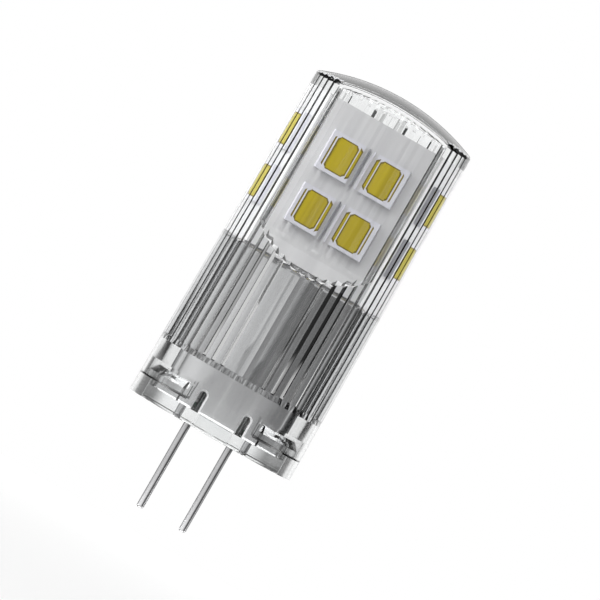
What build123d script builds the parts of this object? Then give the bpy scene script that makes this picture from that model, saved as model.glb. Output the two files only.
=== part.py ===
"""LED capsule bulb on a two-pin base, in millimetres.

A clear ribbed cover snaps over a clear base plug that carries two wire pins. A drawn
aluminium sleeve stands on the plug round the driver board, and a post on the sleeve's
deck carries four white boards with twelve LED packages.

The origin is midway between the pins, on the bulb's lower face. +Z runs to the dome, X
runs along the pin spacing, and the window that faces -Y is the front.
"""

import os
from math import asin, atan, ceil, cos, degrees, radians, sin, sqrt, tan

from build123d import *

# Cover: everything round it is set from the bore, and every height from the rim up
bore_radius = 6.50
foot_wall = 1.10
top_wall = 0.80
cover_height = 31.90
crown_wall = 0.85
dome_rise = 1.48
dome_corner = 0.35
ceiling_rise = 1.03
window_wall = 0.47
window_foot = 17.40
ramp_wall = 0.80
rib_count = 48
rib_height = 0.22
window_rib_height = 0.15
rib_foot = 5.30

# Recesses in the bore near the cover's rim, and the plug's hooks that catch in them
snap_sill = 1.71
snap_height = 1.59
snap_depth = 0.55
bridge_half_width = 3.00
plug_clearance = 0.08
plug_thickness = 1.15
plug_edge = 0.15
hook_wall = 0.67
hook_reach = 0.50
hook_flat = 0.54
hook_slope = 0.63
hook_end_play = 4.20
snap_play = 0.07

# Pins
pin_spacing = 4.00
pin_radius = 0.325
pin_free_length = 8.10
pin_inner_length = 2.95
pin_tip_bevel = 0.17
pin_neck_radius = 0.22
pin_clearance = 0.02

# Heat sleeve
sleeve_side_gap = 1.20
sleeve_depth = 6.80
sleeve_corner = 0.90
sleeve_wall = 0.50
sleeve_height = 14.15
sleeve_top_round = 0.45
sleeve_foot_chamfer = 0.12
sleeve_play = 0.05
slot_width = 0.90
slot_height = 1.88

# LED boards and the post they are bonded to
board_thickness = 0.80
board_side_gap = 0.55
board_headroom = 1.85
post_wall = 0.80
post_top_gap = 0.40

# LED packages
led_width = 2.80
led_height = 3.50
led_thickness = 0.70
led_column_gap = 1.20
led_row_gap = 1.45
led_top_gap = 2.35
led_window_play = 0.53
led_side_rim = 0.25
led_end_rim = 0.28
phosphor_corner = 0.25
phosphor_depth = 0.35
phosphor_recess = 0.02

# Driver board
driver_side_gap = 0.20
driver_headroom = 0.80
driver_thickness = 1.00
driver_tongue_width = 1.74
driver_tongue_drop = 0.15
driver_play = 0.05
solder_gap = 0.12
solder_width = 1.10
solder_foot_gap = 0.55
solder_height = 1.00
solder_play = 0.01

# Flat leads from the driver board to the side boards
lead_width = 0.50
lead_thickness = 0.20
lead_offset = 2.60
lead_overlap = 1.50
lead_bend = 0.80
lead_rise = 1.70
lead_hole_play = 0.20

# Parts on the driver board
lower_part_row = 3.85
upper_part_row = 8.45
part_column = 2.30
outer_part_inset = 1.30
package_stand_off = 0.10
leg_thickness = 0.15
leg_width = 0.50
leg_reach = 0.70
rectifier_width = 4.40
rectifier_height = 3.60
rectifier_thickness = 1.50
driver_ic_width = 2.90
driver_ic_height = 1.60
driver_ic_thickness = 0.80
diode_width = 1.60
diode_height = 2.60
diode_thickness = 0.80
bulk_capacitor_width = 3.20
bulk_capacitor_height = 2.50
bulk_capacitor_thickness = 2.00
input_capacitor_width = 3.20
input_capacitor_height = 1.60
input_capacitor_thickness = 0.85
resistor_width = 2.00
resistor_height = 1.25
resistor_thickness = 0.50
end_cap_length = 0.45
end_cap_proud = 0.05
inductor_radius = 1.80
inductor_waist = 1.45
inductor_thickness = 1.80
inductor_flange = 0.35

# Places worked out from the sizes above
cover_foot_radius = bore_radius + foot_wall
cover_top_radius = bore_radius + top_wall
ceiling_height = cover_height - crown_wall
outside_reach = cover_foot_radius + 2.0

sleeve_width = 2 * (bore_radius - sleeve_side_gap)
sleeve_top = plug_thickness + sleeve_height
front_board_width = sleeve_width - 2 * board_side_gap
post_depth = sleeve_depth - 2 * board_thickness
post_half_depth = post_depth / 2
post_half_width = front_board_width / 2 - board_thickness
board_top = ceiling_height - board_headroom
led_column_offset = (led_width + led_column_gap) / 2
led_upper_row = board_top - led_top_gap - led_height / 2
led_lower_row = led_upper_row - led_height - led_row_gap
phosphor_width = led_width - 2 * led_side_rim
phosphor_height = led_height - 2 * led_end_rim

window_crest = sleeve_depth / 2 + led_thickness + led_window_play
window_inner = window_crest + window_rib_height
window_outer = window_inner + window_wall
outer_ramp_sum = window_outer + window_foot
inner_ramp_sum = outer_ramp_sum - ramp_wall * sqrt(2)

plug_radius = bore_radius - plug_clearance
hook_nose_radius = bore_radius + hook_reach
hook_nose_foot = snap_sill + snap_play
hook_nose_top = hook_nose_foot + hook_flat
hook_height = hook_nose_top + hook_slope
hook_end_angle = degrees(asin(bridge_half_width / bore_radius)) + hook_end_play

driver_front = pin_radius + solder_gap
driver_back = driver_front + driver_thickness
driver_foot = plug_thickness + driver_play
driver_top = sleeve_top - sleeve_wall - driver_headroom
driver_width = sleeve_width - 2 * (sleeve_wall + driver_side_gap)
outer_part_column = driver_width / 2 - outer_part_inset
lead_centre = driver_front - lead_thickness / 2
lead_foot = driver_top - lead_overlap
lead_top = sleeve_top + lead_rise


def dome_height(crown, rise, reach, radius):
    """Height at a radius of a ball cap that falls by rise from its crown to its reach."""
    ball = (reach**2 + rise**2) / (2 * rise)
    return crown - ball + sqrt(ball**2 - radius**2)


def domed_section(foot_radius, edge_radius, crown, rise, corner=0.0):
    """Half section in the XZ plane: flat foot, straight side, rounded corner, shallow dome."""
    with BuildSketch(Plane.XZ) as section:
        with BuildLine():
            edge = (edge_radius, dome_height(crown, rise, edge_radius, edge_radius))
            middle = (edge_radius / 2, dome_height(crown, rise, edge_radius, edge_radius / 2))
            Polyline((0, crown), (0, 0), (foot_radius, 0), edge)
            ThreePointArc(edge, middle, (0, crown))
        make_face()
        if corner:
            fillet(vertices().group_by(Axis.Y)[1], corner)
    return section.sketch


def rib_depth(step, height):
    """Ribs alternate with valleys: an even step is a valley, an odd step is a crest."""
    return height if step % 2 else 0.0


def rib_angle(step):
    """Angle in degrees of a valley or crest, from the window's centre line."""
    return step * 180 / rib_count


def ribbed_bore():
    """Corner points of the round bore with V-shaped ribs, one valley at the window's centre."""
    points = []
    for step in range(2 * rib_count):
        angle = radians(rib_angle(step))
        reach = bore_radius - rib_depth(step, rib_height)
        points.append((reach * sin(angle), -reach * cos(angle)))
    return points


def ribbed_window():
    """Outline of the solid behind the back window: its inner face carries on the ribs."""
    widest = degrees(atan(bore_radius / window_crest))
    last_step = ceil(widest / rib_angle(1)) + 1
    points = []
    for step in range(-last_step, last_step + 1):
        distance = window_inner - rib_depth(step, window_rib_height)
        points.append((distance * tan(radians(rib_angle(step))), distance))
    far_x = points[-1][0]
    return points + [(far_x, outside_reach), (-far_x, outside_reach)]


# Cover: the thickened inner face of each window, with the ramp at its foot
with BuildPart() as window_lining:
    lining_foot = inner_ramp_sum - outside_reach
    with BuildSketch(Plane.XY.offset(lining_foot)):
        Polygon(*ribbed_window(), align=None)
    extrude(amount=cover_height - lining_foot)
    with BuildSketch(Plane.YZ):
        Polygon(
            (0, inner_ramp_sum),
            (outside_reach, lining_foot),
            (outside_reach, cover_height + 1),
            (0, cover_height + 1),
            align=None,
        )
    extrude(amount=2 * outside_reach, both=True, mode=Mode.INTERSECT)
    mirror(about=Plane.XZ)

# Cover: the space inside it, smooth at the rim and ribbed above, under a domed ceiling
with BuildPart() as cavity:
    with BuildSketch(Plane.XY.offset(rib_foot)):
        Polygon(*ribbed_bore(), align=None)
    extrude(amount=ceiling_height - rib_foot)
    ceiling = domed_section(bore_radius, bore_radius, ceiling_height, ceiling_rise)
    revolve(ceiling, axis=Axis.Z, mode=Mode.INTERSECT)
    add(window_lining.part, mode=Mode.SUBTRACT)
    with BuildSketch(Plane.XY):
        Circle(bore_radius)
    extrude(amount=rib_foot)

# Cover: tapered outside with a shallow dome and two flat windows that ramp out to the round
with BuildPart() as cover:
    outside = domed_section(
        cover_foot_radius, cover_top_radius, cover_height, dome_rise, dome_corner
    )
    revolve(outside, axis=Axis.Z)
    with BuildSketch(Plane.YZ):
        with BuildLine():
            Polyline(
                (0, 0),
                (outside_reach, 0),
                (outside_reach, outer_ramp_sum - outside_reach),
                (window_outer, window_foot),
                (window_outer, cover_height + 1),
                (0, cover_height + 1),
                close=True,
            )
        make_face()
        mirror(about=Plane.YZ)
    extrude(amount=outside_reach, both=True, mode=Mode.INTERSECT)
    add(cavity.part, mode=Mode.SUBTRACT)
    with BuildSketch(Plane.XY.offset(snap_sill)):
        Circle(bore_radius + snap_depth)
        Rectangle(2 * bridge_half_width, 2 * outside_reach, mode=Mode.SUBTRACT)
    extrude(amount=snap_height, mode=Mode.SUBTRACT)

cover.part.label = "cover"

# Base plug: disc with two upstanding hooked walls, pin holes and a slot for the driver board
with BuildPart() as base_plug:
    with BuildSketch(Plane.XZ):
        with BuildLine():
            Polyline(
                (0, 0),
                (plug_radius, 0),
                (plug_radius, hook_nose_foot),
                (hook_nose_radius, hook_nose_foot),
                (hook_nose_radius, hook_nose_top),
                (plug_radius, hook_height),
                (plug_radius - hook_wall, hook_height),
                (plug_radius - hook_wall, plug_thickness),
                (0, plug_thickness),
                close=True,
            )
        make_face()
    revolve(axis=Axis.Z)
    with BuildSketch(Plane.XY.offset(plug_thickness)):
        half_opening = outside_reach * tan(radians(hook_end_angle))
        Polygon((0, 0), (half_opening, outside_reach), (-half_opening, outside_reach), align=None)
        mirror(about=Plane.XZ)
    extrude(amount=hook_height - plug_thickness, mode=Mode.SUBTRACT)
    with BuildSketch(Plane.XY.offset(plug_thickness)):
        RectangleRounded(
            sleeve_width + 2 * sleeve_play,
            sleeve_depth + 2 * sleeve_play,
            sleeve_corner + sleeve_play,
        )
    extrude(amount=hook_height - plug_thickness, mode=Mode.SUBTRACT)
    with BuildSketch(Plane.XY.offset(plug_thickness)):
        with Locations((0, (driver_front + driver_back) / 2)):
            Rectangle(driver_tongue_width + 2 * driver_play, driver_thickness + 2 * driver_play)
    extrude(amount=-plug_thickness, mode=Mode.SUBTRACT)
    with Locations((pin_spacing / 2, 0, 0), (-pin_spacing / 2, 0, 0)):
        Hole(pin_neck_radius + pin_clearance)
    chamfer(edges().filter_by(GeomType.CIRCLE).group_by(Axis.Z)[0].sort_by(SortBy.RADIUS)[-1], plug_edge)

base_plug.part.label = "base_plug"

# Pins: straight wire with a neck that passes through the plug up to the driver board
pins = {}
for side, x in (("left", -pin_spacing / 2), ("right", pin_spacing / 2)):
    with BuildPart() as pin:
        with BuildSketch(Plane.XY.offset(-pin_free_length)):
            with Locations((x, 0)):
                Circle(pin_radius)
        extrude(amount=pin_free_length)
        with BuildSketch(Plane.XY):
            with Locations((x, 0)):
                Circle(pin_neck_radius)
        extrude(amount=pin_inner_length)
        chamfer(edges().filter_by(GeomType.CIRCLE).group_by(Axis.Z)[0], pin_tip_bevel)
    pin.part.label = f"pin_{side}"
    pins[side] = pin.part

# Heat sleeve: drawn can, closed at the top, with a U-slot in front of and behind each pin
with BuildPart() as heat_sleeve:
    with BuildSketch(Plane.XY.offset(plug_thickness)):
        RectangleRounded(sleeve_width, sleeve_depth, sleeve_corner)
    extrude(amount=sleeve_top - plug_thickness)
    fillet(faces().sort_by(Axis.Z)[-1].edges(), sleeve_top_round)
    chamfer(faces().sort_by(Axis.Z)[0].edges(), sleeve_foot_chamfer)
    with BuildSketch(Plane.XY.offset(plug_thickness)):
        RectangleRounded(
            sleeve_width - 2 * sleeve_wall,
            sleeve_depth - 2 * sleeve_wall,
            sleeve_corner - sleeve_wall,
        )
    extrude(amount=sleeve_top - sleeve_wall - plug_thickness, mode=Mode.SUBTRACT)
    with BuildSketch(Plane.XZ):
        arch_centre = plug_thickness + slot_height - slot_width / 2
        with Locations((pin_spacing / 2, arch_centre), (-pin_spacing / 2, arch_centre)):
            Circle(slot_width / 2)
            Rectangle(slot_width, slot_height, align=(Align.CENTER, Align.MAX))
    extrude(amount=sleeve_depth, both=True, mode=Mode.SUBTRACT)
    with BuildSketch(Plane.XY.offset(sleeve_top)):
        with Locations((lead_offset, lead_centre), (-lead_offset, lead_centre)):
            Rectangle(lead_width + 2 * lead_hole_play, lead_thickness + 2 * lead_hole_play)
    extrude(amount=-2 * sleeve_wall, mode=Mode.SUBTRACT)

heat_sleeve.part.label = "heat_sleeve"

# Spreader post: drawn cap under the four boards, notched at its foot for the leads
with BuildPart() as spreader_post:
    post_height = board_top - post_top_gap - sleeve_top
    with BuildSketch(Plane.XY.offset(sleeve_top)):
        Rectangle(2 * post_half_width, post_depth)
    extrude(amount=post_height)
    with BuildSketch(Plane.XY.offset(sleeve_top)):
        Rectangle(2 * (post_half_width - post_wall), post_depth - 2 * post_wall)
    extrude(amount=post_height - post_wall, mode=Mode.SUBTRACT)
    notch_top = lead_top + lead_thickness / 2 + lead_hole_play
    with BuildSketch(Plane.YZ):
        with Locations((lead_centre, sleeve_top)):
            Rectangle(
                lead_thickness + 2 * lead_hole_play,
                notch_top - sleeve_top,
                align=(Align.CENTER, Align.MIN),
            )
    extrude(amount=outside_reach, both=True, mode=Mode.SUBTRACT)

spreader_post.part.label = "spreader_post"

# The four faces of the post: each plane lies on the board's outer face, its local Y up
front_distance = post_half_depth + board_thickness
side_distance = post_half_width + board_thickness
board_planes = {
    "front": Plane((0, -front_distance, 0), x_dir=(1, 0, 0), z_dir=(0, -1, 0)),
    "back": Plane((0, front_distance, 0), x_dir=(-1, 0, 0), z_dir=(0, 1, 0)),
    "left": Plane((-side_distance, 0, 0), x_dir=(0, -1, 0), z_dir=(-1, 0, 0)),
    "right": Plane((side_distance, 0, 0), x_dir=(0, 1, 0), z_dir=(1, 0, 0)),
}
board_widths = {
    "front": front_board_width,
    "back": front_board_width,
    "left": post_depth,
    "right": post_depth,
}

# LED boards, standing on the sleeve's deck
boards = {}
for face, plane in board_planes.items():
    with BuildPart() as led_board:
        with BuildSketch(plane):
            with Locations((0, sleeve_top)):
                Rectangle(board_widths[face], board_top - sleeve_top, align=(Align.CENTER, Align.MIN))
        extrude(amount=-board_thickness)
    led_board.part.label = f"led_board_{face}"
    boards[face] = led_board.part

# LED packages: two columns on the wide boards, one on the narrow ones
led_columns = {
    "front": {"left": -led_column_offset, "right": led_column_offset},
    "back": {"left": -led_column_offset, "right": led_column_offset},
    "left": {"": 0.0},
    "right": {"": 0.0},
}
led_rows = {"upper": led_upper_row, "lower": led_lower_row}

leds = []
for face, plane in board_planes.items():
    for column, across in led_columns[face].items():
        for row, up in led_rows.items():
            place = "_".join(word for word in (face, row, column) if word)
            with BuildPart() as led_body:
                with BuildSketch(plane):
                    with Locations((across, up)):
                        Rectangle(led_width, led_height)
                extrude(amount=led_thickness)
                with BuildSketch(plane.offset(led_thickness)) as cup:
                    with Locations((across, up)):
                        Rectangle(phosphor_width, phosphor_height)
                    chamfer(vertices(), phosphor_corner)
                extrude(amount=-phosphor_depth, mode=Mode.SUBTRACT)
            with BuildPart() as phosphor:
                with BuildSketch(plane.offset(led_thickness - phosphor_depth)):
                    with Locations((across, up)):
                        Rectangle(phosphor_width, phosphor_height)
                    chamfer(vertices(), phosphor_corner)
                extrude(amount=phosphor_depth - phosphor_recess)
            led_body.part.label = f"led_{place}"
            phosphor.part.label = f"phosphor_{place}"
            leds += [led_body.part, phosphor.part]

# Driver board: upright behind the pins, its tongue in the plug's slot
with BuildPart() as driver_board:
    with BuildSketch(Plane.XZ.offset(-driver_front)):
        with Locations((0, driver_foot)):
            Rectangle(driver_width, driver_top - driver_foot, align=(Align.CENTER, Align.MIN))
        with Locations((0, plug_thickness - driver_tongue_drop)):
            Rectangle(
                driver_tongue_width,
                driver_tongue_drop + 2 * driver_play,
                align=(Align.CENTER, Align.MIN),
            )
    extrude(amount=-driver_thickness)

driver_board.part.label = "driver_board"

# Solder joints: saddles between each pin and the driver board
solder_joints = []
for side, x in (("left", -pin_spacing / 2), ("right", pin_spacing / 2)):
    with BuildPart() as solder:
        with BuildSketch(Plane.XY.offset(plug_thickness + solder_foot_gap)):
            with Locations((x, 0)):
                Rectangle(solder_width, driver_front, align=(Align.CENTER, Align.MIN))
                Circle(pin_neck_radius + solder_play, mode=Mode.SUBTRACT)
        extrude(amount=solder_height)
    solder.part.label = f"solder_joint_{side}"
    solder_joints.append(solder.part)

# Leads: flat strips from the driver board up through the deck, bent out to the side boards
leads = []
for side, sign in (("left", -1), ("right", 1)):
    start_x = sign * lead_offset
    bend_x = sign * (lead_offset + lead_bend)
    lead_plane = Plane((0, lead_centre, 0), x_dir=(1, 0, 0), z_dir=(0, -1, 0))
    with BuildPart() as lead:
        with BuildLine(lead_plane):
            rise = Line((start_x, lead_foot), (start_x, lead_top - lead_bend))
            RadiusArc(rise @ 1, (bend_x, lead_top), sign * lead_bend)
            Line((bend_x, lead_top), (sign * post_half_width, lead_top))
        with BuildSketch(Plane((start_x, lead_centre, lead_foot))):
            Rectangle(lead_width, lead_thickness)
        sweep()
    lead.part.label = f"lead_{side}"
    leads.append(lead.part)


# Parts on the driver board: the planes lie on its two faces, local Y up
def part_plane(face, across, row):
    """Plane on the front or back face of the driver board, at a place across it and up it."""
    up = plug_thickness + row
    if face == "front":
        return Plane((across, driver_front, up), x_dir=(1, 0, 0), z_dir=(0, -1, 0))
    return Plane((across, driver_back, up), x_dir=(-1, 0, 0), z_dir=(0, 1, 0))


def leg_outline(edge, height):
    """S-shaped side view of a package's leg, from its body's edge down to the board."""
    knee = edge + leg_reach / 3
    return (
        (edge - leg_thickness, height),
        (knee, height),
        (knee, 0),
        (edge + leg_reach, 0),
        (edge + leg_reach, leg_thickness),
        (knee + leg_thickness, leg_thickness),
        (knee + leg_thickness, height + leg_thickness),
        (edge - leg_thickness, height + leg_thickness),
    )


def legged_package(plane, width, height, thickness, legs):
    """Moulded package that stands off the board on two rows of bent legs."""
    pitch = width / legs
    with BuildPart() as package:
        with BuildSketch(plane.offset(package_stand_off)):
            Rectangle(width, height)
        extrude(amount=thickness)
        for side in (-1, 1):
            for leg in range(legs):
                along = (leg + 0.5) * pitch - width / 2
                origin = plane.origin + plane.x_dir * along
                section = Plane(origin, x_dir=plane.y_dir * side, z_dir=plane.x_dir * side)
                with BuildSketch(section):
                    Polygon(*leg_outline(height / 2, thickness / 2), align=None)
                extrude(amount=leg_width / 2, both=True)
    return package.part


def capped_chip(plane, width, height, thickness):
    """Chip part lying on the board, with a slightly proud metal cap at each end."""
    with BuildPart() as chip:
        with BuildSketch(plane):
            Rectangle(width, height)
        extrude(amount=thickness)
        with BuildSketch(plane):
            middle = width / 2 - end_cap_length / 2
            with Locations((-middle, 0), (middle, 0)):
                Rectangle(end_cap_length + 2 * end_cap_proud, height + 2 * end_cap_proud)
        extrude(amount=thickness + end_cap_proud)
    return chip.part


rectifier = legged_package(
    part_plane("front", 0, upper_part_row),
    rectifier_width,
    rectifier_height,
    rectifier_thickness,
    legs=2,
)
driver_ic = legged_package(
    part_plane("back", 0, upper_part_row),
    driver_ic_width,
    driver_ic_height,
    driver_ic_thickness,
    legs=3,
)
diode = legged_package(
    part_plane("back", outer_part_column, upper_part_row),
    diode_width,
    diode_height,
    diode_thickness,
    legs=1,
)
bulk_capacitor = capped_chip(
    part_plane("front", part_column, lower_part_row),
    bulk_capacitor_width,
    bulk_capacitor_height,
    bulk_capacitor_thickness,
)
input_capacitor = capped_chip(
    part_plane("back", part_column, lower_part_row),
    input_capacitor_width,
    input_capacitor_height,
    input_capacitor_thickness,
)
sense_resistor = capped_chip(
    part_plane("back", -part_column, lower_part_row),
    resistor_width,
    resistor_height,
    resistor_thickness,
)
bleed_resistor = capped_chip(
    part_plane("back", -outer_part_column, upper_part_row),
    resistor_width,
    resistor_height,
    resistor_thickness,
)

# Inductor: ferrite drum, its axis square to the board, wound between two flanges
inductor_plane = part_plane("front", -part_column, lower_part_row)
with BuildPart() as inductor:
    with BuildSketch(inductor_plane):
        Circle(inductor_radius)
    extrude(amount=inductor_flange)
    with BuildSketch(inductor_plane.offset(inductor_flange)):
        Circle(inductor_waist)
    extrude(amount=inductor_thickness - 2 * inductor_flange)
    with BuildSketch(inductor_plane.offset(inductor_thickness - inductor_flange)):
        Circle(inductor_radius)
    extrude(amount=inductor_flange)

inductor.part.label = "inductor"

rectifier.label = "rectifier"
driver_ic.label = "driver_ic"
diode.label = "diode"
bulk_capacitor.label = "bulk_capacitor"
input_capacitor.label = "input_capacitor"
sense_resistor.label = "sense_resistor"
bleed_resistor.label = "bleed_resistor"

# One file for each piece, named after it
pieces = [
    cover.part,
    base_plug.part,
    *pins.values(),
    heat_sleeve.part,
    spreader_post.part,
    *boards.values(),
    *leds,
    driver_board.part,
    *solder_joints,
    *leads,
    rectifier,
    driver_ic,
    diode,
    bulk_capacitor,
    input_capacitor,
    sense_resistor,
    bleed_resistor,
    inductor.part,
]

os.makedirs("parts", exist_ok=True)
for piece in pieces:
    export_step(piece, f"parts/{piece.label}.step")
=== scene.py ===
import math

import bmesh
import bpy
import mathutils
import numpy as np
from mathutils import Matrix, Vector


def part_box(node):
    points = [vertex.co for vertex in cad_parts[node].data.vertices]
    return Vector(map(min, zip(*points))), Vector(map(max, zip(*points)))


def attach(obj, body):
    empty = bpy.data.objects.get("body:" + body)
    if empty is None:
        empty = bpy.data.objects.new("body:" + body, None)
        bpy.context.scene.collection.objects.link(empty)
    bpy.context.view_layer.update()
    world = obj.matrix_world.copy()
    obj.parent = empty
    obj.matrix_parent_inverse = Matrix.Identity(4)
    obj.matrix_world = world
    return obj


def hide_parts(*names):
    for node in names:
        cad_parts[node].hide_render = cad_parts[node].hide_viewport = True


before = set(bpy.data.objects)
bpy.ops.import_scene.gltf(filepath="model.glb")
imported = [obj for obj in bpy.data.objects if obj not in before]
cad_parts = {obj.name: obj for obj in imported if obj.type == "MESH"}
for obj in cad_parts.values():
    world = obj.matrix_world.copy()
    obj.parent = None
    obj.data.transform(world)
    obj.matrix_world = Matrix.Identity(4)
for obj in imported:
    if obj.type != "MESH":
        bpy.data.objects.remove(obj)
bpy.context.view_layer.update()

# Shapes are worked out in millimetres, as the part is, and written to the meshes in metres
MM = 0.001

# Cover. Heights are measured from the bulb's lower face, here and below. The flat windows lie
# at the distance WINDOW from the axis. A bridge of full wall, twice BRIDGE wide, parts the two
# snap recesses at the front and at the back.
FOOT_RADIUS = 7.60
SHOULDER_RADIUS = 7.30
CROWN = 31.90
DOME_RISE = 1.48
CORNER = 0.35
WINDOW = 5.25
WINDOW_FOOT = 17.40
BORE = 6.50
RIB_HEIGHT = 0.22
WINDOW_RIB_HEIGHT = 0.15
RIB_FOOT = 5.00
RIB_FULL = 5.46
RIB_STEPS = 48
WINDOW_WALL = 0.47
RAMP_WALL = 0.80
CEILING = 31.05
CEILING_RISE = 1.03
SNAP_SILL = 1.71
SNAP_TOP = 3.30
SNAP_DEPTH = 0.55
SNAP_DRAFT = 0.07
BRIDGE = 3.00

# Base plug
PLUG_RADIUS = 6.42
PLUG_TOP = 1.15
PLUG_EDGE = 0.04
HOOK_RADIUS = 7.00
HOOK_FOOT = 1.78
HOOK_FLAT_TOP = 2.32
HOOK_TOP = 2.95
HOOK_INNER = 5.75
HOOK_END = 3.42
HOOK_LEAST_WALL = 0.10
SLEEVE_PLAY = 0.05
TONGUE_HALF = 0.87
TONGUE_FLARE = 0.03

# Heat sleeve, its slots and the pins
SLEEVE_CORNER = 0.90
SLEEVE_LEAST_CORNER = 0.05
SLEEVE_WALL = 0.50
SLEEVE_ROUND = 0.45
SLEEVE_INNER_ROUND = 0.20
SLEEVE_BEVEL = 0.12
SLOT_HALF = 0.30
SLOT_TOP = 2.87
SLOT_FLARE = 0.16
PIN_RADIUS = 0.325
PIN_NECK = 0.22
PIN_ROUND = 0.17
PIN_SPACING = 4.0

# Painted shade: darker ring round each phosphor fill, where the LED's cup shades it
RIM_WIDTH = 0.10
RIM_RISE = 0.012
RIM_DEPTH = 0.05
RIM_CHAMFER = 0.25

# Heights of the cover's rows below its ramps, and how finely its curves are divided
LOWER_ROWS = (0.0, 2.5, RIB_FOOT, 8.0, 11.0)
CORNER_ROWS = 8
OPENING_ROWS = 30
FLAT_ROWS = 10
CAP_ROWS = 18
CEILING_ROWS = 14

# Columns of a half turn: four to each flank of a rib. The bridge and the hooks end on a column.
SUB_COLUMNS = 4
HALF_TURN = RIB_STEPS * SUB_COLUMNS
BRIDGE_COLUMN = 29
HOOK_COLUMN = 34

# How finely the other curves are divided
BOX_CORNER_STEPS = 10
ROLL_ROWS = 9
ARCH_POINTS = 17
PIN_TIP_ROWS = 7
PIN_COLUMNS = 48
POCKET_STEPS = 60

# In metres: points closer than the first become one, and edges shorter than the second go
MERGE_DISTANCE = 2e-7
SHORTEST_EDGE = 1e-8


def span(node):
    """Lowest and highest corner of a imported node, in millimetres."""
    low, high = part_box(node)
    return np.array(low) / MM, np.array(high) / MM


def put_in_scene(name, data):
    """New object that holds the given mesh, lamp or camera."""
    thing = bpy.data.objects.new(name, data)
    bpy.context.scene.collection.objects.link(thing)
    return thing


def merged_mesh(name, points, faces):
    """Mesh from millimetre points, and a working copy of it whose doubled points are merged."""
    mesh = bpy.data.meshes.new(name)
    mesh.from_pydata((np.asarray(points) * MM).tolist(), [], faces)
    work = bmesh.new()
    work.from_mesh(mesh)
    bmesh.ops.remove_doubles(work, verts=work.verts, dist=MERGE_DISTANCE)
    return mesh, work


def add_piece(name, points, faces, material, sharp_degrees=20.0):
    """Mesh from millimetre points: merged, faced outwards, smooth but for its sharp edges."""
    mesh, work = merged_mesh(name, points, faces)
    bmesh.ops.dissolve_degenerate(work, edges=work.edges, dist=SHORTEST_EDGE)
    loose = [vert for vert in work.verts if not vert.link_faces]
    bmesh.ops.delete(work, geom=loose, context="VERTS")
    bmesh.ops.recalc_face_normals(work, faces=work.faces)
    for face in work.faces:
        face.smooth = True
    limit = math.radians(sharp_degrees)
    for edge in work.edges:
        edge.smooth = len(edge.link_faces) == 2 and edge.calc_face_angle(0.0) < limit
    work.to_mesh(mesh)
    work.free()
    mesh.materials.append(material)
    piece = put_in_scene(name, mesh)
    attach(piece, "root")
    return piece


def add_cutter(name, points, faces):
    """Closed mesh from millimetre points, used only to cut with."""
    mesh, work = merged_mesh(name, points, faces)
    bmesh.ops.recalc_face_normals(work, faces=work.faces)
    work.to_mesh(mesh)
    work.free()
    return put_in_scene(name, mesh)


def cut_out(piece, cutter, sharp_degrees):
    """Takes the cutter's volume out of the piece, and removes the cutter."""
    boolean = piece.modifiers.new("cut", "BOOLEAN")
    boolean.operation = "DIFFERENCE"
    boolean.solver = "EXACT"
    boolean.object = cutter
    bpy.context.view_layer.update()
    graph = bpy.context.evaluated_depsgraph_get()
    mesh = bpy.data.meshes.new_from_object(piece.evaluated_get(graph))
    piece.modifiers.clear()
    old = piece.data
    piece.data = mesh
    bpy.data.meshes.remove(old)
    bpy.data.objects.remove(cutter)
    mesh.polygons.foreach_set("use_smooth", np.ones(len(mesh.polygons), dtype=bool))
    mesh.set_sharp_from_angle(angle=math.radians(sharp_degrees))


def quads(first_row, second_row, keep=None):
    """Faces between two rows of vertex numbers, column by column."""
    cells = np.stack([first_row[:-1], first_row[1:], second_row[1:], second_row[:-1]], axis=1)
    if keep is not None:
        cells = cells[keep]
    return cells.tolist()


def loop_faces(rows, columns, start=0):
    """Faces of closed rings stacked one after another, their vertices numbered from start."""
    number = start + np.arange(rows * columns).reshape(rows, columns)
    closed = np.concatenate([number, number[:, :1]], axis=1)
    faces = []
    for row in range(rows - 1):
        faces += quads(closed[row], closed[row + 1])
    return faces


def both_halves(rows):
    """Points of the right half's rows and of their mirror image, and the numbers of each half."""
    right = np.concatenate(rows)
    points = np.concatenate([right, right * [-1, 1, 1]])
    return points, np.arange(len(points)).reshape(2, len(rows), HALF_TURN + 1)


def ball_radius(rise, reach):
    """Radius of the ball whose cap rises by rise over a round foot of radius reach."""
    return (reach**2 + rise**2) / (2 * rise)


def ball_cap(crown, rise, reach, radius):
    """Height at a radius of a ball cap that falls by rise from its crown to its reach."""
    ball = ball_radius(rise, reach)
    return crown - ball + np.sqrt(ball**2 - radius**2)


def half_ring(start=0.0):
    """Angles of a half turn from the front to the back, closed up to start at both ends."""
    return start + (np.pi - 2 * start) * np.linspace(0, 1, HALF_TURN + 1)


def bridged_ring(radius, half_width, column=BRIDGE_COLUMN):
    """Half turn whose given column, and its like at the back, lie at x = the half width."""
    edge = np.arcsin(half_width / radius)
    marks = [0, column, HALF_TURN - column, HALF_TURN]
    return np.interp(np.arange(HALF_TURN + 1), marks, [0, edge, np.pi - edge, np.pi])


def round_row(radius, height, angles):
    """Points at one radius and height: x = r sin a, y = -r cos a."""
    x = radius * np.sin(angles)
    y = -radius * np.cos(angles)
    return np.column_stack([x, y, np.full(angles.shape, height)])


def lifted(outline, height):
    """Points of a flat outline, given as x and y, at one height."""
    return np.column_stack([outline, np.full(len(outline), height)])


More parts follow.
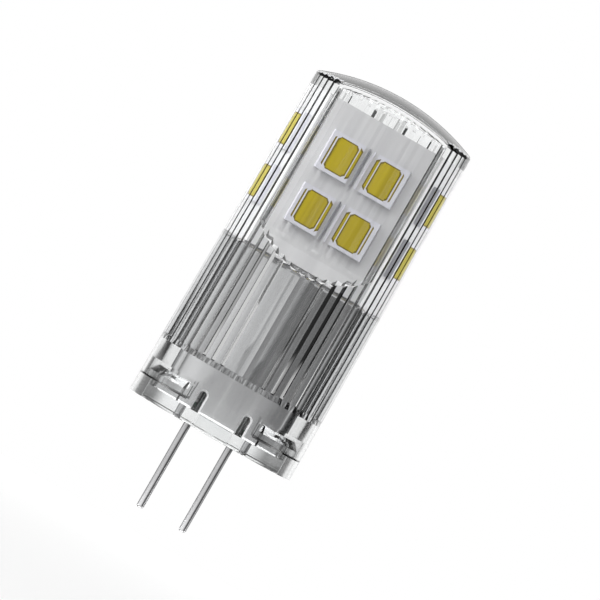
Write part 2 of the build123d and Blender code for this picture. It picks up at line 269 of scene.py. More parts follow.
def cover_outside():
    """Rows of the cover's outside from the rim to the crown, and each row's opening angle.

    The side tapers in a straight line to a rounded corner and a ball cap. Where the flat window
    cuts a row, at radius r and distance d, its columns close up to the angle arccos(d / r), so
    the window's edge is one column. On the ramp d grows by as much as the height falls.
    """
    taper = (FOOT_RADIUS - SHOULDER_RADIUS) / (CROWN - DOME_RISE)
    ramp_sum = WINDOW + WINDOW_FOOT

    corner_radius = SHOULDER_RADIUS - CORNER
    ball = ball_radius(DOME_RISE, SHOULDER_RADIUS)
    ball_centre = CROWN - ball
    corner_height = ball_centre + np.sqrt((ball - CORNER) ** 2 - corner_radius**2)
    turn = np.linspace(0, np.arctan2(corner_height - ball_centre, corner_radius), CORNER_ROWS)
    corner_x = corner_radius + CORNER * np.cos(turn)
    corner = np.column_stack([corner_x, corner_height + CORNER * np.sin(turn)])

    edge_angle = np.arccos(WINDOW / (FOOT_RADIUS - taper * WINDOW_FOOT))
    opening = np.linspace(0, edge_angle, OPENING_ROWS)
    ramp = (ramp_sum - FOOT_RADIUS * np.cos(opening)) / (1 - taper * np.cos(opening))
    flat = np.linspace(WINDOW_FOOT, corner_height, FLAT_ROWS)[1:-1]
    heights = np.concatenate([LOWER_ROWS, ramp, flat])
    side = np.column_stack([FOOT_RADIUS - taper * heights, heights])

    closing = np.linspace(np.arccos(WINDOW / corner[-1, 0]), 0, OPENING_ROWS)[1:]
    radii = np.concatenate([WINDOW / np.cos(closing), np.linspace(WINDOW, 0, CAP_ROWS)[1:]])
    cap = np.column_stack([radii, ball_cap(CROWN, DOME_RISE, SHOULDER_RADIUS, radii)])
    profile = np.concatenate([side, corner, cap])

    distance = np.where(profile[:, 1] < WINDOW_FOOT, ramp_sum - profile[:, 1], WINDOW)
    starts = np.arccos(np.clip(distance / np.maximum(profile[:, 0], 1e-6), 0, 1))
    starts[profile[:, 0] <= WINDOW + 1e-9] = 0.0
    rows = []
    for (radius, height), start in zip(profile, starts):
        rows.append(round_row(radius, height, half_ring(start)))
    return rows, starts


def cover_inside():
    """Rows of the cover's inside from the rim to the ceiling.

    Rows 1 to 4 go round the snap recess: its sill, its wall and its lintel. The sill and the
    recess ends lean by the mould's draft. The bore is smooth up to the ribs' foot, where they
    slope up to their full height. Above it the wall zigzags between valleys and crests, each at
    its own angle. Behind a window a valley or crest at angle a lies at the window's distance d,
    at x = d tan a. The ramp is the plane where y and z add up to one sum.
    """
    ramp_sum = WINDOW + WINDOW_FOOT - RAMP_WALL * math.sqrt(2)
    step = np.arange(RIB_STEPS + 1)
    angle = np.pi * step / RIB_STEPS
    crest = step % 2
    wall = BORE - RIB_HEIGHT * crest
    x = wall * np.sin(angle)
    y = -wall * np.cos(angle)
    limit = WINDOW - WINDOW_WALL - WINDOW_RIB_HEIGHT * crest
    behind = np.abs(y) > limit
    window_x = np.where(behind, limit * np.abs(np.tan(angle)), x)
    window_y = np.where(behind, np.sign(y) * limit, y)
    reach = np.hypot(window_x, window_y)

    def zigzag(across, out, height):
        """Straight flanks between the valleys and crests, in sub-columns."""
        at = np.arange(HALF_TURN + 1) / SUB_COLUMNS
        return np.column_stack([np.interp(at, step, v) for v in (across, out, height)])

    deep = BORE + SNAP_DEPTH
    near_end, far_end = BRIDGE - SNAP_DRAFT, BRIDGE + SNAP_DRAFT
    rows = [
        round_row(BORE, 0.0, bridged_ring(BORE, near_end)),
        round_row(BORE, SNAP_SILL - SNAP_DRAFT, bridged_ring(BORE, near_end)),
        round_row(deep, SNAP_SILL + SNAP_DRAFT, bridged_ring(deep, far_end)),
        round_row(deep, SNAP_TOP, bridged_ring(deep, far_end)),
        round_row(BORE, SNAP_TOP, bridged_ring(BORE, near_end)),
        round_row(BORE, RIB_FOOT, half_ring()),
        zigzag(x, y, np.full(x.shape, RIB_FULL)),
        zigzag(x, y, ramp_sum - np.abs(y)),
        zigzag(window_x, window_y, ramp_sum - np.abs(window_y)),
    ]
    for share in np.linspace(1, 0, CEILING_ROWS):
        height = ball_cap(CEILING, CEILING_RISE, BORE, share * reach)
        rows.append(zigzag(share * window_x, share * window_y, height))
    return rows


def make_cover(material):
    """Clear shell: outside and inside rows in one run, joined at the rim.

    The recess has no faces at the bridges, which are plain wall with a face at each end. Where a
    window or a ramp opens the outside, the first and last columns of both halves are joined.
    """
    outside, starts = cover_outside()
    rows = outside[::-1] + cover_inside()
    points, numbers = both_halves(rows)

    bore_foot = len(outside)
    recess = range(bore_foot + 1, bore_foot + 5)
    columns = np.arange(HALF_TURN)
    bridged = (columns < BRIDGE_COLUMN) | (columns >= HALF_TURN - BRIDGE_COLUMN)
    faces = []
    for half in numbers:
        for row in range(len(rows) - 1):
            faces += quads(half[row], half[row + 1], ~bridged if row in recess[:3] else None)
        faces += quads(half[recess[0]], half[recess[3]], bridged)
        for column in (BRIDGE_COLUMN, HALF_TURN - BRIDGE_COLUMN):
            faces.append([int(half[row, column]) for row in recess])
    opening = np.flatnonzero(starts[::-1] > 0)
    for column in (0, HALF_TURN):
        for row in range(opening[0] - 1, opening[-1] + 1):
            right, left = numbers[:, row : row + 2, column].tolist()
            faces.append(right + left[::-1])
    cover = add_piece("clear_cover", points, faces, material, sharp_degrees=9.0)
    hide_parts("cover")


def make_plug(material):
    """Clear disc with two hooked walls: a profile turned over the hooks' share of each half.

    Inside, a hooked wall ends where the sleeve's rounded rectangle does: at the first step
    outwards that lies further than the corner's radius from the inner corner points.
    """
    half_x, half_y = span("heat_sleeve")[1][:2] + SLEEVE_PLAY
    corner = SLEEVE_CORNER + SLEEVE_PLAY
    angles = bridged_ring(HOOK_INNER, HOOK_END, HOOK_COLUMN)
    ray = np.linspace(HOOK_INNER, PLUG_RADIUS - HOOK_LEAST_WALL, POCKET_STEPS)[:, None]
    past_x = np.maximum(np.abs(ray * np.sin(angles)) - (half_x - corner), 0)
    past_y = np.maximum(np.abs(ray * np.cos(angles)) - (half_y - corner), 0)
    outside = np.hypot(past_x, past_y) > corner
    inner = ray[np.argmax(outside, axis=0), 0]

    def outer(radius, height):
        """Row whose columns at the hooks' ends lie as far across as the hooks do."""
        return round_row(radius, height, bridged_ring(radius, HOOK_END, HOOK_COLUMN))

    rows = [
        round_row(0.0, 0.0, angles),
        outer(PLUG_RADIUS - PLUG_EDGE, 0.0),
        outer(PLUG_RADIUS, PLUG_EDGE),
        outer(PLUG_RADIUS, PLUG_TOP),
        outer(PLUG_RADIUS, HOOK_FOOT),
        outer(HOOK_RADIUS, HOOK_FOOT),
        outer(HOOK_RADIUS, HOOK_FLAT_TOP),
        outer(PLUG_RADIUS, HOOK_TOP),
        round_row(inner, HOOK_TOP, angles),
        round_row(inner, PLUG_TOP, angles),
        round_row(0.0, PLUG_TOP, angles),
    ]
    disc_edge, hook_last = 3, 9
    points, numbers = both_halves(rows)
    columns = np.arange(HALF_TURN)
    hooked = (columns >= HOOK_COLUMN) & (columns < HALF_TURN - HOOK_COLUMN)
    faces = []
    for half in numbers:
        for row in range(disc_edge):
            faces += quads(half[row], half[row + 1])
        for row in range(disc_edge, hook_last):
            faces += quads(half[row], half[row + 1], hooked)
        faces += quads(half[disc_edge], half[hook_last], ~hooked)
        faces += quads(half[hook_last], half[hook_last + 1])
        for column in (HOOK_COLUMN, HALF_TURN - HOOK_COLUMN):
            faces.append(half[disc_edge : hook_last + 1, column].tolist())
    plug = add_piece("clear_plug", points, faces, material, sharp_degrees=12.0)
    cut_out(plug, tongue_cutter(), sharp_degrees=12.0)
    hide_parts("base_plug")


def tongue_cutter():
    """Slot through the plug for the driver board's tongue, a little wider at its mouth."""
    past = 0.2
    low, high = span("driver_board")
    middle = (low[1] + high[1]) / 2
    half_y = (high[1] - low[1]) / 2 + SLEEVE_PLAY
    rings = []
    for height, grow in ((-past, TONGUE_FLARE), (PLUG_TOP + past, 0.0)):
        across = TONGUE_HALF + SLEEVE_PLAY + grow
        deep = half_y + grow
        corners = [(-across, -deep), (across, -deep), (across, deep), (-across, deep)]
        rings.append([(x, middle + y, height) for x, y in corners])
    faces = loop_faces(2, 4) + [[0, 1, 2, 3], [4, 5, 6, 7]]
    return add_cutter("tongue_cutter", np.concatenate(rings), faces)


def rounded_box(half_x, half_y, corner):
    """Outline of a rectangle with round corners, one turn from +X, as x and y."""
    angles = np.linspace(0, np.pi / 2, BOX_CORNER_STEPS + 1)
    runs = []
    for turn, (sx, sy) in enumerate([(1, 1), (-1, 1), (-1, -1), (1, -1)]):
        a = angles + turn * np.pi / 2
        x = sx * (half_x - corner) + corner * np.cos(a)
        y = sy * (half_y - corner) + corner * np.sin(a)
        runs.append(np.column_stack([x, y]))
    return np.concatenate(runs)


def rolled_edge(inset, radius, top):
    """Quarter turn from a wall over to its top, as rows of inset and height."""
    turn = np.linspace(0, np.pi / 2, ROLL_ROWS)
    height = top - radius * (1 - np.sin(turn))
    return np.column_stack([inset + radius * (1 - np.cos(turn)), height])


def make_sleeve(material, edge):
    """Drawn can: a rounded rectangle carried up the wall and over the edge, and again inside.

    Each row of the two profiles is an inset from the wall's outer face and a height. The last
    two faces are the can's flat top and the flat ceiling under it.
    """
    low, high = span("heat_sleeve")
    half_x, half_y, top = high
    foot = low[2]

    def ring(inset, height):
        """Outline of the sleeve, drawn in by the inset, at one height."""
        corner = max(SLEEVE_CORNER - inset, SLEEVE_LEAST_CORNER)
        return lifted(rounded_box(half_x - inset, half_y - inset, corner), height)

    foot_rows = [[SLEEVE_WALL, foot], [SLEEVE_BEVEL, foot], [0, foot + SLEEVE_BEVEL]]
    over = rolled_edge(0, SLEEVE_ROUND, top)
    under = rolled_edge(SLEEVE_WALL, SLEEVE_INNER_ROUND, top - SLEEVE_WALL)
    outer = [ring(*row) for row in np.concatenate([foot_rows, over])]
    inner = [ring(*row) for row in np.concatenate([foot_rows[:1], under])]
    points = np.concatenate(outer + inner)

    columns = len(outer[0])
    inner_start = len(outer) * columns
    faces = loop_faces(len(outer), columns)
    faces += loop_faces(len(inner), columns, inner_start)
    faces.append(list(range(inner_start - columns, inner_start)))
    faces.append(list(range(len(points) - columns, len(points))))
    sleeve = add_piece(
        "drawn_sleeve", points, faces, material, sharp_degrees=30.0
    )
    for x in (-PIN_SPACING / 2, PIN_SPACING / 2):
        cut_out(sleeve, slot_cutter(x, half_y, foot), sharp_degrees=30.0)
    # Painted highlight: the flared faces round the slots get a near-white dull material
    paint_flare_highlights(sleeve, half_y, edge)
    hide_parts("heat_sleeve")


def slot_cutter(x, half_y, foot):
    """Arched slot through both walls, flared at each outer face, and cut past faces and foot."""
    past_face, past_foot = 0.02, 1.0
    arch = np.linspace(0, np.pi, ARCH_POINTS)
    centre = SLOT_TOP - SLOT_HALF
    flare_start = half_y - SLOT_FLARE
    flare_end = half_y + past_face
    flare = SLOT_FLARE + past_face
    sections = []
    for y, grow in ((-flare_end, flare), (-flare_start, 0), (flare_start, 0), (flare_end, flare)):
        radius = SLOT_HALF + grow
        round_top = np.column_stack([x + radius * np.cos(arch), centre + radius * np.sin(arch)])
        right, left = [x + radius, foot - past_foot], [x - radius, foot - past_foot]
        outline = np.concatenate([[right], round_top, [left]])
        sections.append(np.insert(outline, 1, y, axis=1))
    columns = len(sections[0])
    faces = loop_faces(len(sections), columns)
    last = (len(sections) - 1) * columns
    faces += [list(range(columns)), list(range(last, last + columns))]
    return add_cutter("slot_cutter", np.concatenate(sections), faces)


def paint_flare_highlights(sleeve, half_y, edge):
    """Paints a highlight: gives the near-white dull material to the slanted faces round the
    slots' mouths, for the light they catch.
    """
    least_slant, most_slant = 0.5, 0.9
    mesh = sleeve.data
    mesh.materials.append(edge)
    count = len(mesh.polygons)
    centres = np.empty(count * 3)
    normals = np.empty(count * 3)
    mesh.polygons.foreach_get("center", centres)
    mesh.polygons.foreach_get("normal", normals)
    x, y, z = centres.reshape(-1, 3).T / MM
    out = np.abs(normals.reshape(-1, 3)[:, 1])
    near_slot = np.abs(np.abs(x) - PIN_SPACING / 2) < SLOT_HALF + SLOT_FLARE
    mouth = (np.abs(y) > half_y - SLOT_FLARE) & (z < SLOT_TOP + SLOT_FLARE)
    slanted = (out > least_slant) & (out < most_slant)
    chosen = near_slot & mouth & slanted
    mesh.polygons.foreach_set("material_index", chosen.astype(np.int32))


def make_pin(side, material):
    """Wire with a thin neck: a profile of radius over height, turned round the pin's axis."""
    node = f"pin_{side}"
    low, high = span(node)
    centre = (low + high) / 2
    turn = np.linspace(0, np.pi / 2, PIN_TIP_ROWS)
    tip_radius = PIN_RADIUS - PIN_ROUND * (1 - np.sin(turn))
    tip = np.column_stack([tip_radius, low[2] + PIN_ROUND * (1 - np.cos(turn))])
    neck = [[PIN_RADIUS, 0.0], [PIN_NECK, 0.0], [PIN_NECK, high[2]], [0, high[2]]]
    profile = np.concatenate([[[0, low[2]]], tip, neck])
    angles = np.linspace(0, 2 * np.pi, PIN_COLUMNS, endpoint=False)
    x = centre[0] + profile[:, :1] * np.cos(angles)
    y = profile[:, :1] * np.sin(angles)
    z = np.repeat(profile[:, 1:], PIN_COLUMNS, axis=1)
    points = np.stack([x, y, z], axis=2).reshape(-1, 3)
    faces = loop_faces(len(profile), PIN_COLUMNS)
    pin = add_piece(f"wire_{node}", points, faces, material, sharp_degrees=40.0)
    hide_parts(node)


def chamfered_loop(x, y, cut):
    """Eight corners of a rectangle with cut corners, one turn from its right side."""
    right = [(x, cut - y), (x, y - cut), (x - cut, y)]
    left = [(cut - x, y), (-x, y - cut), (-x, cut - y)]
    return np.array(right + left + [(cut - x, -y), (x - cut, -y)])


def make_cup_shade_ring(node, material):
    """Painted shade: thin dark ring round a phosphor fill, where it meets the LED's cup and the
    cup shades it: four loops in a ring.
    """
    low, high = span(node)
    middle, size = (low + high) / 2, high - low
    out = 1 if abs(middle[1]) > abs(middle[0]) else 0
    across = 1 - out
    face = high[out] if middle[out] > 0 else low[out]
    up = math.copysign(1.0, middle[out])
    loops = []
    for inset, rise in (
        (0.0, -RIM_DEPTH),
        (0.0, RIM_RISE),
        (RIM_WIDTH, RIM_RISE),
        (RIM_WIDTH, -RIM_DEPTH),
    ):
        flat = chamfered_loop(size[across] / 2 - inset, size[2] / 2 - inset, RIM_CHAMFER)
        ring = np.zeros((len(flat), 3))
        ring[:, across] = middle[across] + flat[:, 0]
        ring[:, 2] = middle[2] + flat[:, 1]
        ring[:, out] = face + up * rise
        loops.append(ring)
    points = np.concatenate(loops + loops[:1])
    faces = loop_faces(len(loops) + 1, len(loops[0]))
    # The ring is painted shade. Its piece takes the phosphor's name, with rim in place of
    # phosphor
    add_piece(node.replace("phosphor", "rim"), points, faces, material)


# Materials


def new_material(name):
    """Empty material with its output, ready for nodes."""
    material = bpy.data.materials.new(name)
    material.use_nodes = True
    material.node_tree.nodes.clear()
    output = material.node_tree.nodes.new("ShaderNodeOutputMaterial")
    return material, material.node_tree, output


def feed(tree, socket, value):
    """Gives a socket its value: a link from another node's socket, or a plain value."""
    if isinstance(value, bpy.types.NodeSocket):
        tree.links.new(value, socket)
    else:
        socket.default_value = value


def blended(tree, factor, first, second):
    """Goes over from the first colour to the second as the factor rises to 1."""
    mix = tree.nodes.new("ShaderNodeMix")
    mix.data_type = "RGBA"
    for name, value in (("Factor", factor), ("A", first), ("B", second)):
        feed(tree, mix.inputs[name], value)
    return mix.outputs["Result"]


def seen_differently(tree, others, camera):
    """One colour to the camera, and another to every other ray."""
    path = tree.nodes.new("ShaderNodeLightPath")
    return blended(tree, path.outputs["Is Camera Ray"], others, camera)


def surface_shader(tree, **values):
    """Principled shader with the given plain socket values."""
    shader = tree.nodes.new("ShaderNodeBsdfPrincipled")
    for name, value in values.items():
        shader.inputs[name.replace("_", " ")].default_value = value
    return shader


def grey(tone):
    """Opaque grey colour of one tone."""
    return (tone, tone, tone, 1.0)


def make_speckle_group():
    """Fine unevenness: noise over the object, spread from a low to a high value.

    The noise hardly leaves 0.3 to 0.7, so that range is spread. The stretch multiplies the
    height before the noise is read, so a small one draws it out into upright streaks.
    """
    group = bpy.data.node_groups.new("fine_unevenness", "ShaderNodeTree")
    nodes, links = group.nodes, group.links
    for name, value in (("Scale", 800.0), ("Stretch", 1.0), ("Low", 0.1), ("High", 0.2)):
        socket = group.interface.new_socket(
            name=name, in_out="INPUT", socket_type="NodeSocketFloat"
        )
        socket.default_value = value
    group.interface.new_socket(name="Value", in_out="OUTPUT", socket_type="NodeSocketFloat")
    entry = nodes.new("NodeGroupInput")
    leave = nodes.new("NodeGroupOutput")
    coords = nodes.new("ShaderNodeTexCoord")
    stretch = nodes.new("ShaderNodeCombineXYZ")
    stretch.inputs["X"].default_value = 1.0
    stretch.inputs["Y"].default_value = 1.0
    links.new(entry.outputs["Stretch"], stretch.inputs["Z"])
    scaled = nodes.new("ShaderNodeVectorMath")
    scaled.operation = "MULTIPLY"
    links.new(coords.outputs["Object"], scaled.inputs[0])
    links.new(stretch.outputs["Vector"], scaled.inputs[1])
    noise = nodes.new("ShaderNodeTexNoise")
    noise.inputs["Detail"].default_value = 4.0
    links.new(scaled.outputs["Vector"], noise.inputs["Vector"])
    links.new(entry.outputs["Scale"], noise.inputs["Scale"])
    spread = nodes.new("ShaderNodeMapRange")
    spread.inputs["From Min"].default_value = 0.3
    spread.inputs["From Max"].default_value = 0.7
    links.new(noise.outputs["Fac"], spread.inputs["Value"])
    links.new(entry.outputs["Low"], spread.inputs["To Min"])
    links.new(entry.outputs["High"], spread.inputs["To Max"])
    links.new(spread.outputs["Result"], leave.inputs["Value"])
    return group


SPECKLE = make_speckle_group()


def unevenness(tree, scale, stretch, low, high):
    """Places the fine unevenness group with this material's own values."""
    node = tree.nodes.new("ShaderNodeGroup")
    node.node_tree = SPECKLE
    for name, value in (("Scale", scale), ("Stretch", stretch), ("Low", low), ("High", high)):
        node.inputs[name].default_value = value
    return node.outputs["Value"]


def clear_plastic(name, tint):
    """Polished clear moulding. Light on its way to the lamps passes straight through."""
    material, tree, output = new_material(name)
    shader = surface_shader(
        tree,
        Base_Color=(*tint, 1.0),
        IOR=1.58,
        Transmission_Weight=1.0,
        Metallic=0.0,
    )
    uneven = unevenness(tree, scale=900.0, stretch=1.0, low=0.0, high=0.015)
    tree.links.new(uneven, shader.inputs["Roughness"])
    open_way = tree.nodes.new("ShaderNodeBsdfTransparent")
    open_way.inputs["Color"].default_value = grey(0.95)
    path = tree.nodes.new("ShaderNodeLightPath")
    either = tree.nodes.new("ShaderNodeMath")
    either.operation = "MAXIMUM"
    tree.links.new(path.outputs["Is Shadow Ray"], either.inputs[0])
    tree.links.new(path.outputs["Is Diffuse Ray"], either.inputs[1])
    mix = tree.nodes.new("ShaderNodeMixShader")
    tree.links.new(either.outputs["Value"], mix.inputs["Fac"])
    tree.links.new(shader.outputs["BSDF"], mix.inputs[1])
    tree.links.new(open_way.outputs["BSDF"], mix.inputs[2])
    tree.links.new(mix.outputs["Shader"], output.inputs["Surface"])
    return material


def bright_metal(name, colour, low, high, stretch):
    """Drawn or plated metal, its roughness streaked along the draw between low and high."""
    material, tree, output = new_material(name)
    shader = surface_shader(tree, Base_Color=(*colour, 1.0), Metallic=1.0)
    uneven = unevenness(tree, scale=2500.0, stretch=stretch, low=low, high=high)
    tree.links.new(uneven, shader.inputs["Roughness"])
    tree.links.new(shader.outputs["BSDF"], output.inputs["Surface"])
    return material


def painted(name, colour, shade, roughness=0.5, scale=3000.0, stretch=1.0):
    """Opaque moulded or coated surface, mottled between two close colours.

    A small stretch draws the mottling out into upright streaks: painted light and shade, for the
    light that falls through the ribs.
    """
    material, tree, output = new_material(name)
    shader = surface_shader(tree, Roughness=roughness, Specular_IOR_Level=0.2)
    uneven = unevenness(tree, scale, stretch, low=0.0, high=1.0)
    mottled = blended(tree, uneven, (*colour, 1.0), (*shade, 1.0))
    tree.links.new(mottled, shader.inputs["Base Color"])
    tree.links.new(shader.outputs["BSDF"], output.inputs["Surface"])
    return material


CLEAR = clear_plastic("clear_polycarbonate", (0.985, 0.99, 0.99))
CLEAR_PLUG = clear_plastic("clear_plug_plastic", (0.98, 0.985, 0.985))

ALUMINIUM = bright_metal(
    "drawn_aluminium", (0.84, 0.84, 0.85), low=0.04, high=0.10, stretch=0.05
)
WIRE = bright_metal("plated_wire", (0.78, 0.78, 0.79), low=0.05, high=0.09, stretch=0.05)
POST_METAL = bright_metal("post_aluminium", (0.70, 0.70, 0.71), low=0.3, high=0.45, stretch=0.3)
SOLDER = bright_metal("solder_metal", (0.62, 0.62, 0.63), low=0.2, high=0.4, stretch=1.0)

# Painted light: the board's mottling is drawn into upright streaks of light and shade from the
# ribs
BOARD_WHITE = painted(
    "white_solder_mask", (0.61, 0.61, 0.615), (0.52, 0.52, 0.53), scale=1000.0, stretch=0.02
)
LED_WHITE = painted(
    "led_body_white", (0.62, 0.62, 0.67), (0.59, 0.59, 0.64), roughness=0.4, scale=2500.0
)
# Painted light: the phosphor's mottling is drawn into upright streaks of light and shade from the
# ribs
PHOSPHOR = painted(
    "phosphor_yellow", (0.51, 0.40, 0.002), (0.33, 0.255, 0.002), scale=1500.0, stretch=0.03
)
# Painted light: a paler, greyer copy of the phosphor yellow, for the side LEDs washed out by
# light through the ribs, streaked as above
WASHED_SIDE_PHOSPHOR = painted(
    "phosphor_paler_painted_at_sides", (0.45, 0.39, 0.07), (0.36, 0.31, 0.05), scale=1500.0, stretch=0.03
)
# Painted shade: dark olive for the ring where the LED's cup shades the phosphor's edge
PHOSPHOR_CUP_SHADE = painted("phosphor_rim", (0.17, 0.13, 0.002), (0.14, 0.10, 0.002), scale=6000.0)
BOARD_GREEN = painted(
    "driver_board_green", (0.006, 0.03, 0.018), (0.01, 0.04, 0.024), roughness=0.4, scale=900.0
)
# Painted highlight: near-white dull colour for the light caught by the slots' flared faces
FLARE_HIGHLIGHT = painted("painted_flare_highlight", (0.86, 0.86, 0.87), (0.80, 0.80, 0.81))
EPOXY = painted("black_epoxy", (0.02, 0.02, 0.02), (0.03, 0.03, 0.03))
CERAMIC = painted("fired_ceramic", (0.42, 0.28, 0.15), (0.36, 0.24, 0.12))
FERRITE = painted("ferrite", (0.06, 0.06, 0.065), (0.09, 0.09, 0.09), roughness=0.55)

make_cover(CLEAR)
make_plug(CLEAR_PLUG)
make_sleeve(ALUMINIUM, FLARE_HIGHLIGHT)
for side in ("left", "right"):
    make_pin(side, WIRE)
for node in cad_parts:
    if node.startswith("phosphor_"):
        make_cup_shade_ring(node, PHOSPHOR_CUP_SHADE)

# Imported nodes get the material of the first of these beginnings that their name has
BY_START = (
    ("led_board_", BOARD_WHITE),
    ("led_", LED_WHITE),
    ("phosphor_left_", WASHED_SIDE_PHOSPHOR),
    ("phosphor_right_", WASHED_SIDE_PHOSPHOR),
    ("phosphor_", PHOSPHOR),
    ("spreader_post", POST_METAL),
    ("driver_board", BOARD_GREEN),
    ("solder_", SOLDER),
    ("lead_", SOLDER),
    ("rectifier", EPOXY),
    ("driver_ic", EPOXY),
    ("diode", EPOXY),
    ("bulk_capacitor", CERAMIC),
    ("input_capacitor", CERAMIC),
    ("sense_resistor", EPOXY),
    ("bleed_resistor", EPOXY),
    ("inductor", FERRITE),
)
for node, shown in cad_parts.items():
    for start, material in BY_START:
        if node.startswith(start):
            for place in shown.material_slots:
                place.material = material
            break

# Studio: a round wall, a floor, a sky and four lamps. The camera sees white. Glass and metal see
# tones, which were chosen for the light and dark bands of the photograph. All lengths
# are metres. An azimuth is in degrees, 0 at the camera's side and rising to the right.
WALL_RADIUS = 0.90
WALL_HEIGHT = 1.8
WALL_COLUMNS = 96
FLOOR_HEIGHT = -0.045
FLOOR_WHITE = 0.85
FLOOR_GLOW = 0.53
SKY_TONE = 0.9

# Wall by azimuth: bands mirrored in the sleeve, dark sides for the rib lines, white behind
WALL_TONES = (
    (-180, 1.00),
    (-151, 1.00),
    (-144, 0.08),
    (-128, 0.03),
    (-114, 0.06),
    (-107, 0.40),
    (-98, 0.20),
    (-85, 0.60),
    (-60, 0.80),
    (-50, 0.60),
    (-40, 0.70),
    (-36, 0.35),
    (-31, 0.12),
    (-22, 0.35),
    (-14, 0.50),
    (-9, 0.85),
    (-4, 0.50),
    (0, 0.42),
    (4, 0.35),
    (9, 0.15),
    (22, 0.30),
    (32, 0.75),
    (36, 0.25),
    (56, 0.06),
    (68, 0.01),
    (142, 0.03),
    (150, 1.00),
    (180, 1.00),
)

# Wall by elevation in degrees, times the tone above: the dim band is seen in the dome
ELEVATION_TONES = (
    (-3, 1.0),
    (5.5, 1.0),
    (7, 0.45),
    (10.5, 0.45),
    (14, 1.0),
    (30, 1.0),
    (52, 0.3),
)

# Lowest strip of the wall and far part of the floor, by azimuth: mirrored in the pins
LOW_TONES = (
    (-180, 1.00),
    (-158, 1.00),
    (-148, 0.20),
    (-118, 0.25),
    (-104, 0.60),
    (-30, 0.70),
    (14, 0.58),
    (28, 0.10),
    (72, 0.10),
    (84, 0.60),
    (100, 0.60),
    (120, 0.20),
    (140, 0.20),
    (150, 1.00),
    (180, 1.00),
)
# Heights between which the wall goes over from these low tones to its own
LOW_WALL_END = (-0.028, -0.024)

# Near part of the floor, by distance from the axis: rings seen in the plug and the cover's foot
FLOOR_TONES = (
    (0.027, 0.85),
    (0.034, 0.04),
    (0.050, 0.04),
    (0.054, 0.16),
    (0.066, 0.16),
    (0.071, 0.85),
    (0.086, 0.85),
    (0.094, 0.05),
    (0.125, 0.05),
    (0.135, 0.85),
)
# Distances from the origin: how far the rings' ramp reaches, and between which two they give
# way to the low tones
FLOOR_REACH = 0.25
NEAR_FLOOR_END = (0.16, 0.20)

# Lamps: name, place, size, and power in watts
LAMPS = (
    ("key_lamp", (-0.09, -0.17, 0.21), 0.12, 0.36),
    ("near_lamp", (-0.045, -0.035, 0.035), 0.02, 0.018),
    ("left_lamp", (-0.26, 0.06, 0.06), 0.14, 0.85),
    ("right_lamp", (0.26, 0.06, 0.06), 0.14, 1.0),
)
LAMP_AIM = (0.0, 0.0, 0.022)

# Camera: how far off it stands, how much it sees across at that distance, and its lean
CAMERA_DISTANCE = 0.600
CAMERA_WIDTH = 0.04938
CAMERA_X = 0.000922
CAMERA_Z = 0.01329
CAMERA_LEAN = -30
SENSOR_MM = 36.0


def share_between(tree, value, start, end):
    """Rises from 0 to 1 as the value goes from start to end."""
    node = tree.nodes.new("ShaderNodeMapRange")
    node.inputs["From Min"].default_value = start
    node.inputs["From Max"].default_value = end
    tree.links.new(value, node.inputs["Value"])
    return node.outputs["Result"]


def grey_ramp(tree, factor, stops):
    """Grey tone by the factor, in straight lines between stops of a position and a tone."""
    ramp = tree.nodes.new("ShaderNodeValToRGB")
    elements = ramp.color_ramp.elements
    for number, (position, tone) in enumerate(stops):
        stop = elements[number] if number < 2 else elements.new(position)
        stop.position = position
        stop.color = grey(tone)
    tree.links.new(factor, ramp.inputs["Fac"])
    return ramp.outputs["Color"]


def studio_place(tree):
    """Place in the studio, and the same split into x, y and z."""
    coords = tree.nodes.new("ShaderNodeTexCoord")
    split = tree.nodes.new("ShaderNodeSeparateXYZ")
    tree.links.new(coords.outputs["Object"], split.inputs["Vector"])
    return coords.outputs["Object"], split.outputs


def tones_round(tree, split, tones):
    """Tone of each direction round the object: the azimuth is the arctangent of x over -y."""
    flip = tree.nodes.new("ShaderNodeMath")
    flip.operation = "MULTIPLY"
    flip.inputs[1].default_value = -1.0
    tree.links.new(split["Y"], flip.inputs[0])
    turn = tree.nodes.new("ShaderNodeMath")
    turn.operation = "ARCTAN2"
    tree.links.new(split["X"], turn.inputs[0])
    tree.links.new(flip.outputs["Value"], turn.inputs[1])
    share = share_between(tree, turn.outputs["Value"], -math.pi, math.pi)
    return grey_ramp(tree, share, [(azimuth / 360 + 0.5, tone) for azimuth, tone in tones])


def wall_material():
    """White to the eye. Glass and metal see the tone of each direction round the object."""
    material, tree, output = new_material("studio_wall")
    _, split = studio_place(tree)
    rise = share_between(tree, split["Z"], *LOW_WALL_END)
    low = tones_round(tree, split, LOW_TONES)
    high = tones_round(tree, split, WALL_TONES)
    turned = blended(tree, rise, low, high)

    stops = []
    for elevation, tone in ELEVATION_TONES:
        height = WALL_RADIUS * math.tan(math.radians(elevation))
        stops.append(((height - FLOOR_HEIGHT) / WALL_HEIGHT, tone))
    up = share_between(tree, split["Z"], FLOOR_HEIGHT, FLOOR_HEIGHT + WALL_HEIGHT)
    dimmed = tree.nodes.new("ShaderNodeVectorMath")
    dimmed.operation = "SCALE"
    tree.links.new(turned, dimmed.inputs[0])
    tree.links.new(grey_ramp(tree, up, stops), dimmed.inputs["Scale"])

    glow = tree.nodes.new("ShaderNodeEmission")
    seen = seen_differently(tree, dimmed.outputs["Vector"], grey(1.0))
    tree.links.new(seen, glow.inputs["Color"])
    tree.links.new(glow.outputs["Emission"], output.inputs["Surface"])
    return material


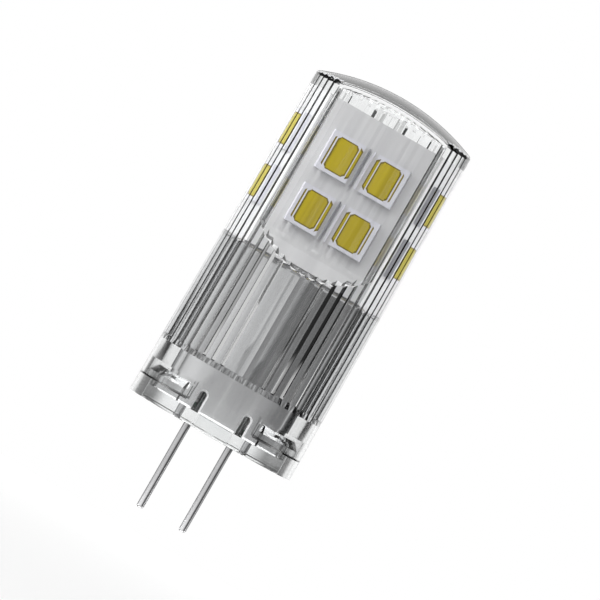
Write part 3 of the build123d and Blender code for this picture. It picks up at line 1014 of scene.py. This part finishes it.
def floor_tones(tree):
    """Floor that glass and metal see: rings by distance, and further out tones by direction.

    The distance is that from the object's origin, so each ring's radius and the floor's depth
    below the origin are the two sides of a right angle.
    """
    place, split = studio_place(tree)
    reach = tree.nodes.new("ShaderNodeVectorMath")
    reach.operation = "LENGTH"
    tree.links.new(place, reach.inputs[0])
    distance = reach.outputs["Value"]
    stops = []
    for radius, tone in FLOOR_TONES:
        stops.append((math.hypot(radius, FLOOR_HEIGHT) / FLOOR_REACH, tone))
    rings = grey_ramp(tree, share_between(tree, distance, 0.0, FLOOR_REACH), stops)
    away = share_between(tree, distance, *NEAR_FLOOR_END)
    return blended(tree, away, rings, tones_round(tree, split, LOW_TONES))


def floor_material():
    """Pale dull floor with a soft glow. Glass and metal see its tones."""
    material, tree, output = new_material("studio_floor")
    shader = surface_shader(tree, Roughness=0.9, Emission_Strength=FLOOR_GLOW)
    seen = seen_differently(tree, floor_tones(tree), grey(FLOOR_WHITE))
    tree.links.new(seen, shader.inputs["Base Color"])
    tree.links.new(seen, shader.inputs["Emission Color"])
    tree.links.new(shader.outputs["BSDF"], output.inputs["Surface"])
    return material


def add_stage(name, points, faces, material):
    """Part of the studio, not of the object. Points are metres."""
    mesh = bpy.data.meshes.new(name)
    mesh.from_pydata(np.asarray(points).tolist(), [], faces)
    for face in mesh.polygons:
        face.use_smooth = True
    mesh.materials.append(material)
    stand = put_in_scene(name, mesh)


def add_lamp(name, place, size, power):
    """Soft square lamp aimed at the boards. Only dull surfaces are lit by it."""
    light = bpy.data.lights.new(name, "AREA")
    light.size = size
    light.energy = power
    lamp = put_in_scene(name, light)
    lamp.location = place
    aim = mathutils.Vector(LAMP_AIM) - lamp.location
    lamp.rotation_euler = aim.to_track_quat("-Z", "Y").to_euler()
    lamp.visible_glossy = False
    lamp.visible_transmission = False


def make_studio():
    """Wall, floor, sky and lamps."""
    angles = np.linspace(0, 2 * np.pi, WALL_COLUMNS, endpoint=False)
    ring = np.column_stack([WALL_RADIUS * np.cos(angles), WALL_RADIUS * np.sin(angles)])
    low = lifted(ring, FLOOR_HEIGHT)
    high = lifted(ring, FLOOR_HEIGHT + WALL_HEIGHT)
    wall_points = np.concatenate([low, high])
    add_stage("studio_wall", wall_points, loop_faces(2, WALL_COLUMNS), wall_material())
    add_stage("studio_floor", low, [list(range(WALL_COLUMNS))], floor_material())

    world = bpy.data.worlds.new("studio_sky")
    bpy.context.scene.world = world
    world.use_nodes = True
    tree = world.node_tree
    seen = seen_differently(tree, grey(SKY_TONE), grey(1.0))
    tree.links.new(seen, tree.nodes["Background"].inputs["Color"])

    for name, place, size, power in LAMPS:
        add_lamp(name, place, size, power)


def make_camera():
    """Long lens looking along +Y, rolled so that the bulb leans as in the photograph."""
    data = bpy.data.cameras.new("camera")
    data.sensor_width = SENSOR_MM
    data.lens = SENSOR_MM * CAMERA_DISTANCE / CAMERA_WIDTH
    data.clip_start = 0.01
    data.clip_end = 10.0
    camera = put_in_scene("camera", data)
    camera.location = (CAMERA_X, -CAMERA_DISTANCE, CAMERA_Z)
    camera.rotation_euler = (math.radians(90), math.radians(CAMERA_LEAN), 0.0)
    bpy.context.scene.camera = camera


make_studio()
make_camera()
bpy.context.scene.view_settings.view_transform = "Standard"
